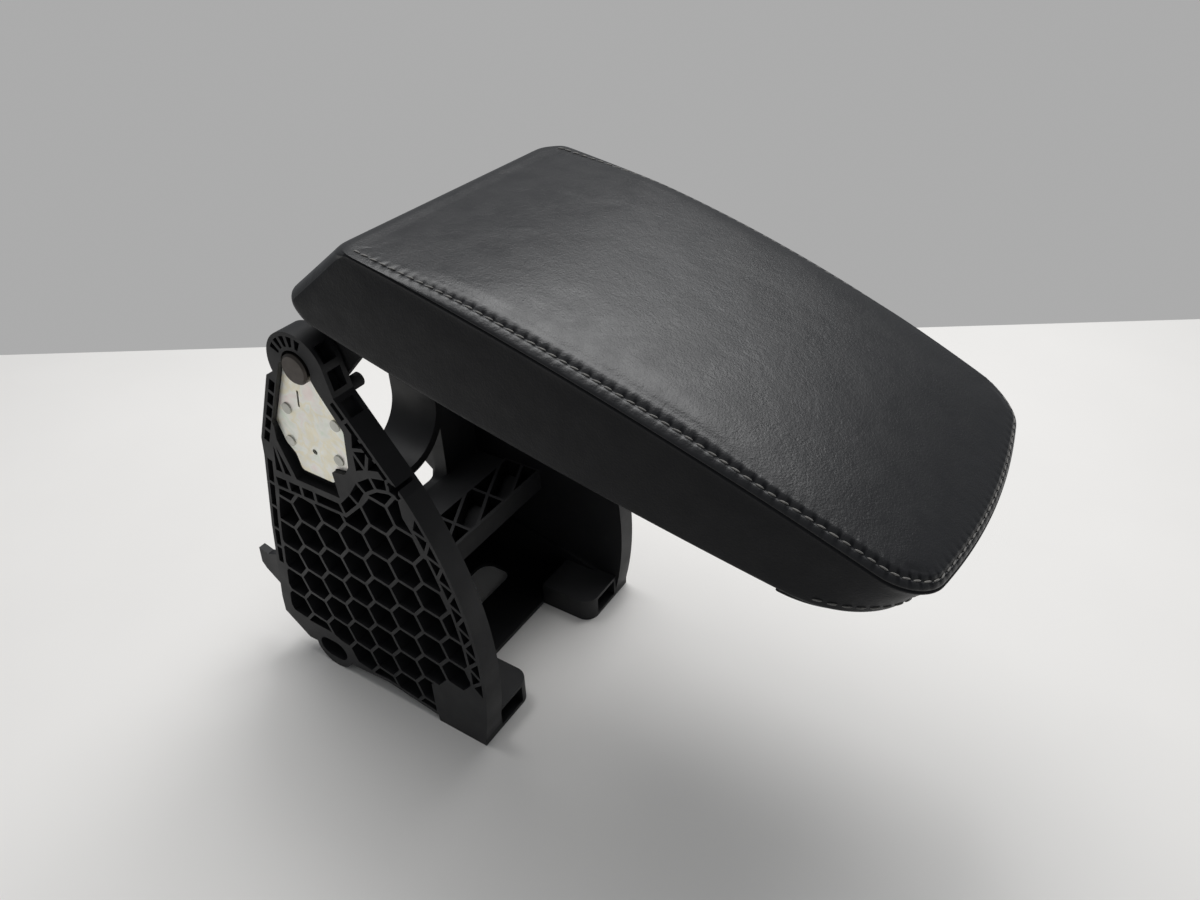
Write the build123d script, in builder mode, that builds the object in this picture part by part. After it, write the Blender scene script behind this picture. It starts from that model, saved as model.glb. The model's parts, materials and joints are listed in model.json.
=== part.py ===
from build123d import *
import os
from math import cos, hypot, radians, sin, sqrt

# Car centre armrest: a leather pad that swings up on a moulded bracket.
# Millimetres and degrees. +X is the way the pad points, Y = 0 the middle plane, Z = 0 the base.
# The right side is -Y. Each left piece is the right one mirrored.

# Bracket
bracket_width = 170.0  # over the outer faces of the side walls
wall_depth = 14.5  # side wall, inner face to outer face
wall_skin = 2.5  # closed inner face behind the pockets
rib = 2.2  # ribs between pockets
moulding = 3.0  # thickness of floor, shelf and rear panel

# Side wall outline in X and Z
foot_front = 60.0  # front edge of the foot
foot_back = 22.0  # where the foot's plain patch ends
front_arc_x = -170.5  # centre of the long front curve
front_arc_z = 56.5
front_arc_radius = 236.2
front_arc_low = -12.5
front_arc_high = 32.65
neck_front = (-10.0, 234.0)
neck_rear = (-52.0, 239.0)
rear_step = (-60.0, 234.0)
waist_high = (-81.0, 186.0)
waist_low = (-83.0, 173.0)
back_high = (-97.0, 113.0)
back_low = (-103.0, 81.0)
heel_high = (-110.0, 45.0)
heel_low = (-111.0, 31.0)
heel_under = (-92.0, 15.0)
sole_rear = (-50.0, 9.0)
sole_middle = (-20.0, 11.5)
sole_front_rise = 5.0
boss_x = -68.6  # round rear foot
boss_radius = 16.0
boss_pocket_length = 24.0
boss_pocket_height = 16.0

# Honeycomb and ribbed borders
hex_pitch = 22.0
hex_turn = -9.7
hex_x = -19.8  # middle of one cell
hex_z = 133.6
hex_reach = 8  # rows of cells laid out each way
smallest_cell = 45.0  # area below which a clipped cell is left solid
border_width = 9.0  # double rib under the hinge plate
border = [(-46.0, 156.0), (-24.0, 156.0), (-12.5, 167.5), (-4.5, 179.0), (6.0, 186.0), (17.0, 188.5), (25.6, 186.0)]
border_rear = (-79.0, 155.5)
border_rungs = 3  # bays in its straight rear stretch
front_rim = 10.0  # zigzag rim along the front curve
front_rim_low = -3.0
front_rim_high = 30.2
front_rim_bays = 8
rear_rim = 7.5  # rim with rungs along the back
back_rungs_high = 3
back_rungs_low = 2
waist_rungs = 5
edge_rim = 6.5  # rim with rungs along the slope above the shoulder
edge_rim_bays = 5
edge_pocket = 4.0  # depth of those pockets
cap_cells_from = 62.0  # small pockets round the cap
cap_cells_to = 155.0
cap_cells = 5
patch_top = 34.0  # plain patch over the front foot
web = [(16.5, 196.0), (7.2, 207.5), (-2.4, 219.0), (3.0, 192.5), (-5.5, 204.0), (-6.0, 188.5)]
fan_tip = (-71.5, 191.0)
fan_base = [(-77.0, 163.5), (-69.0, 163.5), (-61.0, 163.5)]
front_pockets = [55.0, 71.0, 85.0]  # along the slope from the shoulder, open to the front
front_pocket_length = 10.0
front_pocket_width = 9.0
front_pocket_floor = 3.0  # below the slope's face
front_pocket_start = 3.0  # from the wall's inner face

# Broken and whole locating tabs behind the heel
tab_thickness = 5.0
tab_inset = 5.0  # from the wall's outer face
tab_broken_tip = [(-126.0, 59.0), (-129.0, 64.0), (-127.6, 77.0), (-119.7, 74.8), (-112.6, 77.5)]
tab_whole_tip = [(-126.0, 59.0), (-130.0, 64.0), (-130.0, 79.0)]

# Floor and feet
floor_rear = -62.0
strip_rear = -18.0
strip_front = 19.0
floor_hole_rear = -45.0
floor_hole_half_width = 48.0
floor_hole_corner = 10.0
foot_inner = 36.0  # inner face of each foot, from the middle plane
foot_height = 18.0
foot_corner = 10.0
foot_wall = 2.5
sill_thickness = 3.0  # ledge of the floor along the foot of each side wall
sill_rear = 42.0  # its height at the rear panel
sill_middle = 25.0  # at the front strip's edge
sill_front = 45.0  # where it runs out on the foot

# Shelf and truss strip
shelf_top = 89.0
truss_rear = -33.0
truss_front = -2.0
truss_top = 91.0
truss_depth = 16.0
truss_ribs = [-42.0, -6.0, 30.0]  # ribs straight across the strip
truss_slant = 0.18  # share of a bay left beside each slanted rib's end

# Rear panel and duct collar
panel_top = 205.0
duct_z = 151.0
duct_outer_radius = 35.0
duct_wall = 2.5
duct_length = 40.0
duct_lip = 4.0
duct_lip_thickness = 2.5
duct_top = 191.0  # upper edges of the collar, which is open above
duct_clearance = 1.0
cutout_bottom = 84.0
cutout_corner = 9.0
cutout_rim = 11.0  # depth of the rim round the cut-out

# Hinge
hinge_x = -34.0
hinge_z = 245.0
cap_radius = 21.0  # rounded top of the side wall
cap_front_angle = 20.0  # where the neck meets it
cap_rear_angle = 175.0
pin_radius = 5.0
pin_head_radius = 9.0
pin_head_height = 5.0
pin_head_round = 1.2
pin_fit = 0.05  # radial running clearance of pin and bush
plate_gauge = 3.0
plate_recess = 6.0
plate_clearance = 0.4
plate_cap_radius = 8.5  # round the pin, under its head
recess_cap_radius = 10.5  # room for the pin's head
plate_corner = 3.0
plate_outline = [
    (-46.0, 246.0), (-66.5, 201.0), (-62.5, 188.0), (-56.5, 181.5), (-54.5, 171.0), (-29.0, 170.5),
    (-25.5, 182.5), (-15.0, 184.0), (-11.0, 190.5), (-8.5, 214.0), (-22.0, 235.0), (-26.5, 244.0),
]
recess_well = [(-66.0, 201.0), (-67.0, 189.0), (-58.5, 164.0), (-24.0, 164.0), (-25.5, 183.5)]
plate_slit = (-42.5, 222.5)
plate_slit_length = 11.0
plate_slit_width = 1.4
plate_hole = (-39.5, 188.5)
plate_hole_radius = 1.8
rivet_spots = [(-54.0, 213.0), (-58.0, 190.0), (-17.0, 213.5), (-20.5, 189.5)]
rivet_radius = 2.0
rivet_head_radius = 3.4
rivet_head_height = 0.8
clip_radius = 8.0
clip_thickness = 1.2
clip_groove = 0.8
clip_gap = 5.0

# Hinge yoke, bushes, washers and stops
yoke_gauge = 4.0
yoke_eye_radius = 18.0
bush_wall = 2.0
bush_flange = 5.0
bush_flange_thickness = 1.5
side_clearance = 0.3
washer_radius = 11.0
washer_gauge = 1.2
washer_cone = 1.5
pin_end = 3.0  # pin left beyond the clip
stop_radius = 4.0
stop_length = 9.0
stop_plug = 5.0  # length pressed into the wall
stop_reach = 4.0  # along the arm's lower edge from the eye
stop_gap = 0.3

# Pad, in its own frame: U along the pad from above the hinge, H up from its flat underside
pad_tilt = 12.65  # nose-down
pad_rise = 32.0  # underside above the hinge axis
pad_nose = 327.0
pad_rear = -12.0
pad_overhang = 3.0  # widest part of the pad beyond each side wall
nose_taper = 8.0  # how much narrower each side is at the nose
rear_taper = 6.0
pad_widest = 165.0
nose_sweep = 14.0  # how far the nose corners lie behind the nose
nose_corner = 28.0
rear_corner = 12.0
bevel_foot = -11.0  # where the rear bevel would meet the underside
bevel_top = 33.5
bevel_height = 54.3
crown_u = 180.0  # a point on the crown of the top
crown_height = 51.2
nose_height = 26.5
nose_undercut = 9.0
bevel_foot_round = 7.7
bevel_top_round = 12.0
nose_round = 5.0
leather = 1.4
hem = 8.0  # leather turned under the edge
hem_gap = 0.3
cover_thickness = 3.5
carrier_inset = 10.0
carrier_wall = 3.0
carrier_height = 22.0
carrier_rear = 15.0
cover_rear = 9.0
yoke_plate_rear = 30.0
yoke_plate_front = 104.0
yoke_arm_rear = 25.0  # upper end of each arm
yoke_arm_front = 44.0
slot_clearance = 0.5
screw_spots = [(42.0, 35.0), (42.0, -35.0), (88.0, 35.0), (88.0, -35.0)]
screw_radius = 2.0
screw_head_radius = 4.2
screw_length = 15.0
boss_wall = 2.5
lip_rear = 266.0
lip_inset = 2.5
lip_thickness = 4.0
lip_round = 1.5
lip_corner = 48.0

# Faces that several pieces share
wall_outer = bracket_width / 2
wall_inner = wall_outer - wall_depth
plate_seat = wall_outer - plate_recess
plate_face = plate_seat + plate_gauge
arm_outer = wall_inner - side_clearance - bush_flange_thickness
arm_inner = arm_outer - yoke_gauge
panel_front = floor_rear + moulding
bush_radius = pin_radius + bush_wall
front_arc = (front_arc_x, front_arc_z)
hinge = (hinge_x, hinge_z)

outer_face = Plane.XZ.offset(wall_outer)
inner_face = Plane.XZ.offset(wall_inner)
tilt = radians(pad_tilt)
pad_forward = Vector(cos(tilt), 0, -sin(tilt))
pad_up = Vector(sin(tilt), 0, cos(tilt))
hinge_point = Vector(hinge_x, 0, hinge_z)
pad_side = Plane(origin=hinge_point + pad_up * pad_rise, x_dir=pad_forward, z_dir=(0, -1, 0))
pad_half_middle = wall_outer + pad_overhang
pad_half_front = pad_half_middle - nose_taper
pad_half_rear = pad_half_middle - rear_taper
pad_base = Plane(origin=hinge_point + pad_up * pad_rise, x_dir=pad_forward, z_dir=pad_up)


def polar(centre, radius, angle):
    """Point at an angle on a circle."""
    return (centre[0] + radius * cos(radians(angle)), centre[1] + radius * sin(radians(angle)))


def line_rail(start, end, steps):
    """Evenly spaced points along a straight line."""
    shares = [step / steps for step in range(steps + 1)]
    return [(start[0] + (end[0] - start[0]) * t, start[1] + (end[1] - start[1]) * t) for t in shares]


def arc_rail(centre, radius, low, high, steps):
    """Evenly spaced points along an arc."""
    return [polar(centre, radius, low + (high - low) * step / steps) for step in range(steps + 1)]


def beside(points, distance):
    """Line that runs alongside another, a given distance to its left."""
    moved = []
    for place, point in enumerate(points):
        before = points[max(place - 1, 0)]
        after = points[min(place + 1, len(points) - 1)]
        along = Vector(after[0] - before[0], after[1] - before[1]).normalized()
        moved.append((point[0] - along.Y * distance, point[1] + along.X * distance))
    return moved


def ladder(near, far):
    """Four-sided cells between two rails."""
    return [[near[i], near[i + 1], far[i + 1], far[i]] for i in range(len(near) - 1)]


def zigzag(near, far):
    """Three-sided cells between two rails, the near one with a point more than the far one."""
    cells = [[near[i], near[i + 1], far[i]] for i in range(len(far))]
    return cells + [[far[i], near[i + 1], far[i + 1]] for i in range(len(far) - 1)]


def pocket(corners):
    """Cell drawn in by half a rib on every side."""
    with BuildSketch() as cell:
        Polygon(*corners)
        offset(amount=-rib / 2, kind=Kind.INTERSECTION)
    return cell.sketch_local


# Points of the side wall that follow from its curves
front_knee = polar(front_arc, front_arc_radius, front_arc_low)
shoulder = polar(front_arc, front_arc_radius, front_arc_high)
cap_front = polar(hinge, cap_radius, cap_front_angle)
cap_rear = polar(hinge, cap_radius, cap_rear_angle)
boss_middle = (boss_x, boss_radius)
slope_along = Vector(neck_front[0] - shoulder[0], 0, neck_front[1] - shoulder[1])
slope_out = Vector(slope_along.Z, 0, -slope_along.X)
front_slope = Plane(origin=(shoulder[0], 0, shoulder[1]), x_dir=slope_along, z_dir=slope_out)

with BuildSketch() as wall_outline:
    with BuildLine():
        Polyline((foot_front, 0), front_knee)
        CenterArc(front_arc, front_arc_radius, front_arc_low, front_arc_high - front_arc_low)
        Polyline(
            shoulder, neck_front, cap_front, cap_rear, neck_rear, rear_step, waist_high, waist_low,
            back_high, back_low, heel_high, heel_low, heel_under, boss_middle, sole_rear, sole_middle,
            (foot_back, sole_front_rise), (foot_back, 0), (foot_front, 0),
        )
    make_face()
    with Locations(hinge):
        Circle(cap_radius)
    with Locations(boss_middle):
        Circle(boss_radius)

# Rails of the double rib under the hinge plate
border_line = line_rail(border_rear, border[0], border_rungs)[:-1] + border
border_upper = beside(border_line, border_width / 2)
border_lower = beside(border_line, -border_width / 2)
back_line = line_rail(waist_low, back_high, back_rungs_high) + line_rail(back_high, back_low, back_rungs_low)[1:]
waist_line = line_rail(rear_step, waist_high, waist_rungs)
slope_line = line_rail(shoulder, neck_front, edge_rim_bays)
rim_radius = front_arc_radius - front_rim
field_low = polar(front_arc, rim_radius, front_rim_low)
field_high = polar(front_arc, rim_radius, front_rim_high)

# Ground that the honeycomb covers, inside the rims
with BuildSketch() as honeycomb_field:
    with BuildLine():
        CenterArc(front_arc, rim_radius, front_rim_low, front_rim_high - front_rim_low)
        Polyline(
            field_high, *reversed(border_lower), *beside(back_line, rear_rim)[back_rungs_high - 1:],
            (heel_high[0] + rear_rim, heel_high[1]), (heel_low[0] + rear_rim, heel_low[1] + rib),
            (boss_x, 2 * boss_radius), (sole_rear[0], sole_rear[1] + rib), (sole_middle[0], sole_middle[1] + rib),
            (foot_back, sole_front_rise + rib), (foot_back, patch_top), field_low,
        )
    make_face()
    with Locations(boss_middle):
        Circle(boss_radius, mode=Mode.SUBTRACT)
    offset(amount=-rib / 2)

up_row = (hex_pitch * cos(radians(90 + hex_turn)), hex_pitch * sin(radians(90 + hex_turn)))
side_row = (hex_pitch * cos(radians(30 + hex_turn)), hex_pitch * sin(radians(30 + hex_turn)))
cell_middles = [
    (hex_x + a * up_row[0] + b * side_row[0], hex_z + a * up_row[1] + b * side_row[1])
    for a in range(-hex_reach, hex_reach + 1)
    for b in range(-hex_reach, hex_reach + 1)
]
with BuildSketch() as honeycomb:
    with Locations(*cell_middles):
        RegularPolygon((hex_pitch - rib) / sqrt(3), 6, rotation=hex_turn)
    add(honeycomb_field.sketch_local, mode=Mode.INTERSECT)
honeycomb_cells = honeycomb.sketch_local.faces().filter_by(lambda cell: cell.area > smallest_cell)

# Pockets in the rims and borders
rim_step = (front_rim_high - front_rim_low) / front_rim_bays / 2
rim_near = arc_rail(front_arc, front_arc_radius - rib / 2, front_rim_low, front_rim_high, front_rim_bays)
rim_far = arc_rail(front_arc, rim_radius, front_rim_low + rim_step, front_rim_high - rim_step, front_rim_bays - 1)
border_cells = zigzag(rim_near, rim_far)
border_cells += ladder(border_upper, border_lower)
border_cells += ladder(beside(back_line, rib / 2), beside(back_line, rear_rim))
border_cells += ladder(beside(waist_line, rib / 2), beside(waist_line, rear_rim))
border_cells += zigzag(web[:3], web[3:5]) + [web[3:]]
border_cells += [[fan_tip, fan_base[0], fan_base[1]], [fan_tip, fan_base[1], fan_base[2]]]
border_cells += ladder(
    arc_rail(hinge, cap_radius - rib / 2, cap_cells_from, cap_cells_to, cap_cells),
    arc_rail(hinge, recess_cap_radius + rib / 2, cap_cells_from, cap_cells_to, cap_cells),
)
slope_cells = ladder(beside(slope_line, rib / 2), beside(slope_line, edge_rim))

with BuildSketch() as wall_pockets:
    add(honeycomb_cells)
    add([pocket(cell) for cell in border_cells])
    with Locations(boss_middle):
        SlotOverall(boss_pocket_length, boss_pocket_height)

with BuildSketch() as slope_pockets:
    add([pocket(cell) for cell in slope_cells])

with BuildSketch() as plate_face_outline:
    Polygon(*plate_outline)
    fillet(plate_face_outline.vertices(), plate_corner)
    with Locations(hinge):
        Circle(plate_cap_radius)


def side_wall(tab_tip):
    """Moulded side wall on the right, with its rear locating tab."""
    with BuildPart() as wall:
        with BuildSketch(inner_face):
            add(wall_outline.sketch_local)
        extrude(amount=wall_depth)
        with BuildSketch(outer_face.offset(-tab_inset)):
            Polygon(heel_high, *tab_tip, back_low, (back_low[0] + rib, heel_high[1]))
        extrude(amount=-tab_thickness)
        with BuildSketch(outer_face):
            add(wall_pockets.sketch_local)
        extrude(amount=wall_skin - wall_depth, mode=Mode.SUBTRACT)
        with BuildSketch(outer_face):
            add(slope_pockets.sketch_local)
        extrude(amount=-edge_pocket, mode=Mode.SUBTRACT)
        with BuildSketch(front_slope.offset(cap_radius)):
            for along in front_pockets:
                with Locations((along, wall_inner + front_pocket_start + front_pocket_width / 2)):
                    Rectangle(front_pocket_length, front_pocket_width)
        extrude(amount=-cap_radius - front_pocket_floor, mode=Mode.SUBTRACT)
        with BuildSketch(outer_face):
            add(plate_face_outline.sketch_local)
            offset(amount=plate_clearance)
            Polygon(*recess_well)
            with Locations(hinge):
                Circle(recess_cap_radius)
        extrude(amount=-plate_recess, mode=Mode.SUBTRACT)
        with BuildSketch(inner_face):
            with Locations(hinge):
                Circle(pin_radius + pin_fit)
            with Locations(*rivet_spots):
                Circle(rivet_radius + pin_fit)
        extrude(amount=wall_depth, mode=Mode.SUBTRACT)
        with BuildSketch(inner_face):
            with Locations(stop_spot):
                Circle(stop_radius)
        extrude(amount=stop_plug, mode=Mode.SUBTRACT)
        with BuildSketch(Plane.XY):
            with Locations(((foot_back + foot_front) / 2, (wall_outer + wall_inner) / -2)):
                Rectangle(foot_front - foot_back - 2 * foot_wall, wall_depth - 2 * foot_wall)
        extrude(amount=patch_top - foot_wall, mode=Mode.SUBTRACT)
    return wall


def mirrored(piece):
    """Left twin of a right piece."""
    with BuildPart() as twin:
        mirror(piece.part, about=Plane.XZ)
    return twin


# Hinge yoke: one folded sheet, with the plate inside the pad and an arm down each side
eye_middle = (0, -pad_rise)
yoke_plate_top = cover_thickness + yoke_gauge
with BuildSketch() as arm_outline:
    with BuildLine():
        Line((yoke_arm_rear, yoke_plate_top), (yoke_arm_front, yoke_plate_top))
        CenterArc(eye_middle, yoke_eye_radius, 0, 360)
    make_hull()
    with Locations(eye_middle):
        Circle(bush_radius, mode=Mode.SUBTRACT)

# Rubber stop under the straight lower edge of each arm
lower_edge = [edge for edge in arm_outline.edges().filter_by(GeomType.LINE) if edge.center().Y < 0]
lower_edge = sorted(lower_edge, key=lambda edge: edge.center().X)[-1]
edge_ends = sorted([lower_edge @ 0, lower_edge @ 1], key=lambda point: point.X)
edge_along = (edge_ends[1] - edge_ends[0]).normalized()
edge_below = Vector(edge_along.Y, -edge_along.X)
stop_local = edge_ends[0] + edge_along * stop_reach + edge_below * (stop_radius + stop_gap)
stop_middle = pad_side.from_local_coords(stop_local)
stop_spot = (stop_middle.X, stop_middle.Z)

right_side_wall = side_wall(tab_broken_tip)
left_side_wall = mirrored(side_wall(tab_whole_tip))

with BuildPart() as floor:
    with BuildSketch(Plane.XY):
        with Locations(((floor_rear + strip_front) / 2, 0)):
            Rectangle(strip_front - floor_rear, 2 * wall_inner)
        with Locations(((floor_hole_rear + strip_rear) / 2, 0)):
            RectangleRounded(
                strip_rear - floor_hole_rear, 2 * floor_hole_half_width, floor_hole_corner, mode=Mode.SUBTRACT
            )
    extrude(amount=moulding)
    with BuildSketch(Plane.XY) as feet:
        for side in (-1, 1):
            with Locations(((strip_front + foot_front) / 2, side * (foot_inner + wall_inner) / 2)):
                Rectangle(foot_front - strip_front, wall_inner - foot_inner)
        inner_corners = feet.vertices().group_by(Axis.X)[-1].filter_by(lambda v: abs(v.Y) < wall_inner - 1)
        fillet(inner_corners, foot_corner)
    extrude(amount=foot_height)
    with BuildSketch(Plane.YZ.offset(foot_front)):
        for side in (-1, 1):
            with Locations((side * (foot_inner + foot_corner + wall_inner - foot_wall) / 2, foot_height / 2)):
                Rectangle(wall_inner - foot_wall - foot_inner - foot_corner, foot_height - 2 * foot_wall)
    extrude(amount=strip_front + foot_wall - foot_front, mode=Mode.SUBTRACT)
    with BuildSketch(inner_face):
        Polygon(
            (panel_front, 0), (sill_front, 0), (sill_front, foot_height), (strip_front, sill_middle),
            (panel_front, sill_rear),
        )
    extrude(amount=-sill_thickness)
    mirror(about=Plane.XZ)

# Each bay of the shelf's front strip is crossed by two slanted ribs
strip_back = truss_rear + rib / 2
strip_front_rib = truss_front - rib / 2
strip_middle = (strip_back + strip_front_rib) / 2
truss_cells = []
cross_ribs = [-wall_inner, *truss_ribs, wall_inner]
for low, high in zip(cross_ribs[:-1], cross_ribs[1:]):
    slant = (high - low) * truss_slant
    truss_cells.append([(strip_back, low), (strip_middle, low), (strip_back, high - slant)])
    truss_cells.append([
        (strip_middle, low), (strip_front_rib, low), (strip_front_rib, low + slant),
        (strip_middle, high), (strip_back, high), (strip_back, high - slant),
    ])
    truss_cells.append([(strip_front_rib, low + slant), (strip_front_rib, high), (strip_middle, high)])

with BuildPart() as shelf:
    with BuildSketch(Plane.XY.offset(shelf_top)):
        with Locations(((panel_front + truss_rear) / 2, 0)):
            Rectangle(truss_rear - panel_front, 2 * wall_inner)
    extrude(amount=-moulding)
    with BuildSketch(Plane.XY.offset(truss_top)):
        with Locations(((truss_rear + truss_front) / 2, 0)):
            Rectangle(truss_front - truss_rear, 2 * wall_inner)
    extrude(amount=-truss_depth)
    with BuildSketch(Plane.XY.offset(truss_top)):
        add([pocket(cell) for cell in truss_cells])
    extrude(amount=wall_skin - truss_depth, mode=Mode.SUBTRACT)

duct_cutout = duct_outer_radius + duct_clearance
with BuildPart() as rear_panel:
    with BuildSketch(Plane.YZ.offset(floor_rear)):
        with Locations((0, (moulding + panel_top) / 2)):
            Rectangle(2 * wall_inner, panel_top - moulding)
    extrude(amount=moulding)
    with BuildSketch(Plane.YZ.offset(floor_rear)):
        with Locations((0, (cutout_bottom - moulding + panel_top) / 2)):
            Rectangle(2 * (duct_cutout + moulding), panel_top - cutout_bottom + moulding)
    extrude(amount=moulding - cutout_rim)
    with BuildSketch(Plane.YZ.offset(panel_front)) as cutout:
        with Locations((0, (cutout_bottom + 2 * panel_top) / 2)):
            Rectangle(2 * duct_cutout, 2 * panel_top - cutout_bottom)
        fillet(cutout.vertices().group_by(Axis.Y)[0], cutout_corner)
    extrude(amount=-cutout_rim, mode=Mode.SUBTRACT)


def trough(radius):
    """Round-bottomed outline with upright sides up to the collar's upper edges."""
    with BuildSketch() as outline:
        with Locations((0, duct_z)):
            Circle(radius)
        with Locations((0, (duct_z + duct_top) / 2)):
            Rectangle(2 * radius, duct_top - duct_z)
    return outline.sketch_local


with BuildPart() as duct_collar:
    with BuildSketch(Plane.YZ.offset(panel_front + duct_lip_thickness)):
        add(trough(duct_outer_radius))
    extrude(amount=-duct_length)
    with BuildSketch(Plane.YZ.offset(panel_front)):
        add(trough(duct_outer_radius + duct_lip))
    extrude(amount=duct_lip_thickness)
    with BuildSketch(Plane.YZ.offset(panel_front + duct_lip_thickness)):
        add(trough(duct_outer_radius - duct_wall))
    extrude(amount=-duct_length, mode=Mode.SUBTRACT)

with BuildPart() as right_hinge_plate:
    with BuildSketch(Plane.XZ.offset(plate_seat)):
        add(plate_face_outline.sketch_local)
        with Locations(hinge):
            Circle(pin_radius + pin_fit, mode=Mode.SUBTRACT)
        with Locations(*rivet_spots):
            Circle(rivet_radius + pin_fit, mode=Mode.SUBTRACT)
        with Locations(plate_hole):
            Circle(plate_hole_radius, mode=Mode.SUBTRACT)
        with Locations(plate_slit):
            Rectangle(plate_slit_width, plate_slit_length, rotation=hex_turn, mode=Mode.SUBTRACT)
    extrude(amount=plate_gauge)

with BuildPart() as right_plate_rivets:
    with BuildSketch(inner_face):
        with Locations(*rivet_spots):
            Circle(rivet_radius)
    extrude(amount=plate_face - wall_inner)
    with BuildSketch(Plane.XZ.offset(plate_face)):
        with Locations(*rivet_spots):
            Circle(rivet_head_radius)
    extrude(amount=rivet_head_height)

clip_outer = arm_inner - clip_gap
clip_inner = clip_outer - clip_thickness
with BuildPart() as right_hinge_pin:
    with BuildSketch(Plane.XZ.offset(clip_inner - pin_end)):
        with Locations(hinge):
            Circle(pin_radius)
    extrude(amount=plate_face - clip_inner + pin_end)
    with BuildSketch(Plane.XZ.offset(clip_inner)):
        with Locations(hinge):
            Circle(pin_radius + pin_fit)
            Circle(pin_radius - clip_groove, mode=Mode.SUBTRACT)
    extrude(amount=clip_thickness, mode=Mode.SUBTRACT)
    with BuildSketch(Plane.XZ.offset(plate_face)):
        with Locations(hinge):
            Circle(pin_head_radius)
    extrude(amount=pin_head_height)
    chamfer(right_hinge_pin.edges().group_by(Axis.Y)[0], pin_head_round)

with BuildPart() as right_pin_clip:
    with BuildSketch(Plane.XZ.offset(clip_inner)):
        with Locations(hinge):
            Circle(clip_radius)
            Circle(pin_radius - clip_groove, mode=Mode.SUBTRACT)
        with Locations((hinge_x, hinge_z - clip_radius)):
            Rectangle(2 * (pin_radius - clip_groove), 2 * clip_radius, mode=Mode.SUBTRACT)
    extrude(amount=clip_thickness)

with BuildPart() as right_stop_buffer:
    with BuildSketch(inner_face.offset(stop_plug)):
        with Locations(stop_spot):
            Circle(stop_radius)
    extrude(amount=-stop_plug - stop_length)

with BuildPart() as hinge_yoke:
    for arm_face in (arm_outer, -arm_inner):
        with BuildSketch(pad_side.offset(arm_face)):
            add(arm_outline.sketch_local)
        extrude(amount=-yoke_gauge)
    with BuildSketch(pad_base.offset(cover_thickness)):
        with Locations(((yoke_plate_rear + yoke_plate_front) / 2, 0)):
            Rectangle(yoke_plate_front - yoke_plate_rear, 2 * arm_outer)
        with Locations(*screw_spots):
            Circle(screw_radius, mode=Mode.SUBTRACT)
    extrude(amount=yoke_gauge)

with BuildPart() as right_bush:
    with BuildSketch(Plane.XZ.offset(arm_inner)):
        with Locations(hinge):
            Circle(bush_radius)
    extrude(amount=yoke_gauge)
    with BuildSketch(Plane.XZ.offset(arm_outer)):
        with Locations(hinge):
            Circle(bush_radius + bush_flange)
    extrude(amount=bush_flange_thickness)
    with BuildSketch(Plane.XZ.offset(arm_inner)):
        with Locations(hinge):
            Circle(pin_radius + pin_fit)
    extrude(amount=yoke_gauge + bush_flange_thickness, mode=Mode.SUBTRACT)

with BuildPart() as right_spring_washer:
    with BuildSketch(Plane.XY.offset(hinge_z)):
        with Locations((hinge_x, -arm_inner)):
            Polygon(
                (washer_radius, 0), (washer_radius, washer_gauge), (pin_radius + pin_fit, washer_gauge + washer_cone),
                (pin_radius + pin_fit, washer_cone),
            )
    revolve(axis=Axis((hinge_x, 0, hinge_z), (0, 1, 0)), revolution_arc=360)


# Outer form of the pad: its outline from above and its outline from the side
def pad_plan_with(corner_radius, inset):
    """Pad from above, drawn in all round, its nose corners rounded to a given radius."""
    nose_u = pad_nose - inset
    corner_u = nose_u - nose_sweep
    rear_u = pad_rear + inset
    front = pad_half_front - inset
    middle = pad_half_middle - inset
    rear = pad_half_rear - inset
    with BuildSketch() as plan:
        with BuildLine():
            ThreePointArc((corner_u, -front), (nose_u, 0), (corner_u, front))
            ThreePointArc((corner_u, front), (pad_widest, middle), (rear_u, rear))
            Line((rear_u, rear), (rear_u, -rear))
            ThreePointArc((rear_u, -rear), (pad_widest, -middle), (corner_u, -front))
        make_face()
        fillet(plan.vertices().group_by(Axis.X)[-1], corner_radius)
        fillet(plan.vertices().group_by(Axis.X)[0], rear_corner)
    return plan


pad_plan = pad_plan_with(nose_corner, 0)
lip_plan = pad_plan_with(lip_corner, lip_inset)

with BuildSketch() as pad_underside:
    add(pad_plan.sketch_local)
    with Locations((-nose_undercut, 0)):
        add(pad_plan.sketch_local, mode=Mode.INTERSECT)

with BuildSketch() as pad_profile:
    with BuildLine():
        Polyline((pad_nose - nose_undercut, 0), (bevel_foot, 0), (bevel_top, bevel_height))
        ThreePointArc((bevel_top, bevel_height), (crown_u, crown_height), (pad_nose, nose_height))
        Line((pad_nose, nose_height), (pad_nose - nose_undercut, 0))
    make_face()
    profile_corners = pad_profile.vertices().sort_by(Axis.X)
    fillet(profile_corners[0], bevel_foot_round)
    fillet(profile_corners[1], bevel_top_round)

with BuildSketch() as lined_profile:
    add(pad_profile.sketch_local)
    offset(amount=-leather)

pad_tallest = 2 * bevel_height
pad_wide = 2 * pad_half_middle

with BuildPart() as pad_core:
    with BuildSketch(pad_base):
        offset(pad_plan.sketch_local, amount=-leather)
    extrude(amount=pad_tallest)
    with BuildSketch(pad_side):
        add(lined_profile.sketch_local)
    extrude(amount=pad_wide, both=True, mode=Mode.INTERSECT)

with BuildPart() as leather_top:
    with BuildSketch(pad_side):
        add(pad_profile.sketch_local)
        add(lined_profile.sketch_local, mode=Mode.SUBTRACT)
        with Locations((pad_nose, 0)):
            Rectangle(pad_nose, 2 * (nose_height - leather), mode=Mode.SUBTRACT)
        with Locations((pad_nose / 2 + cover_rear, 0)):
            Rectangle(pad_nose, 2 * bevel_foot_round, mode=Mode.SUBTRACT)
    extrude(amount=pad_wide, both=True)
    with BuildSketch(pad_base):
        add(pad_plan.sketch_local)
    extrude(amount=pad_tallest, mode=Mode.INTERSECT)

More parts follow.
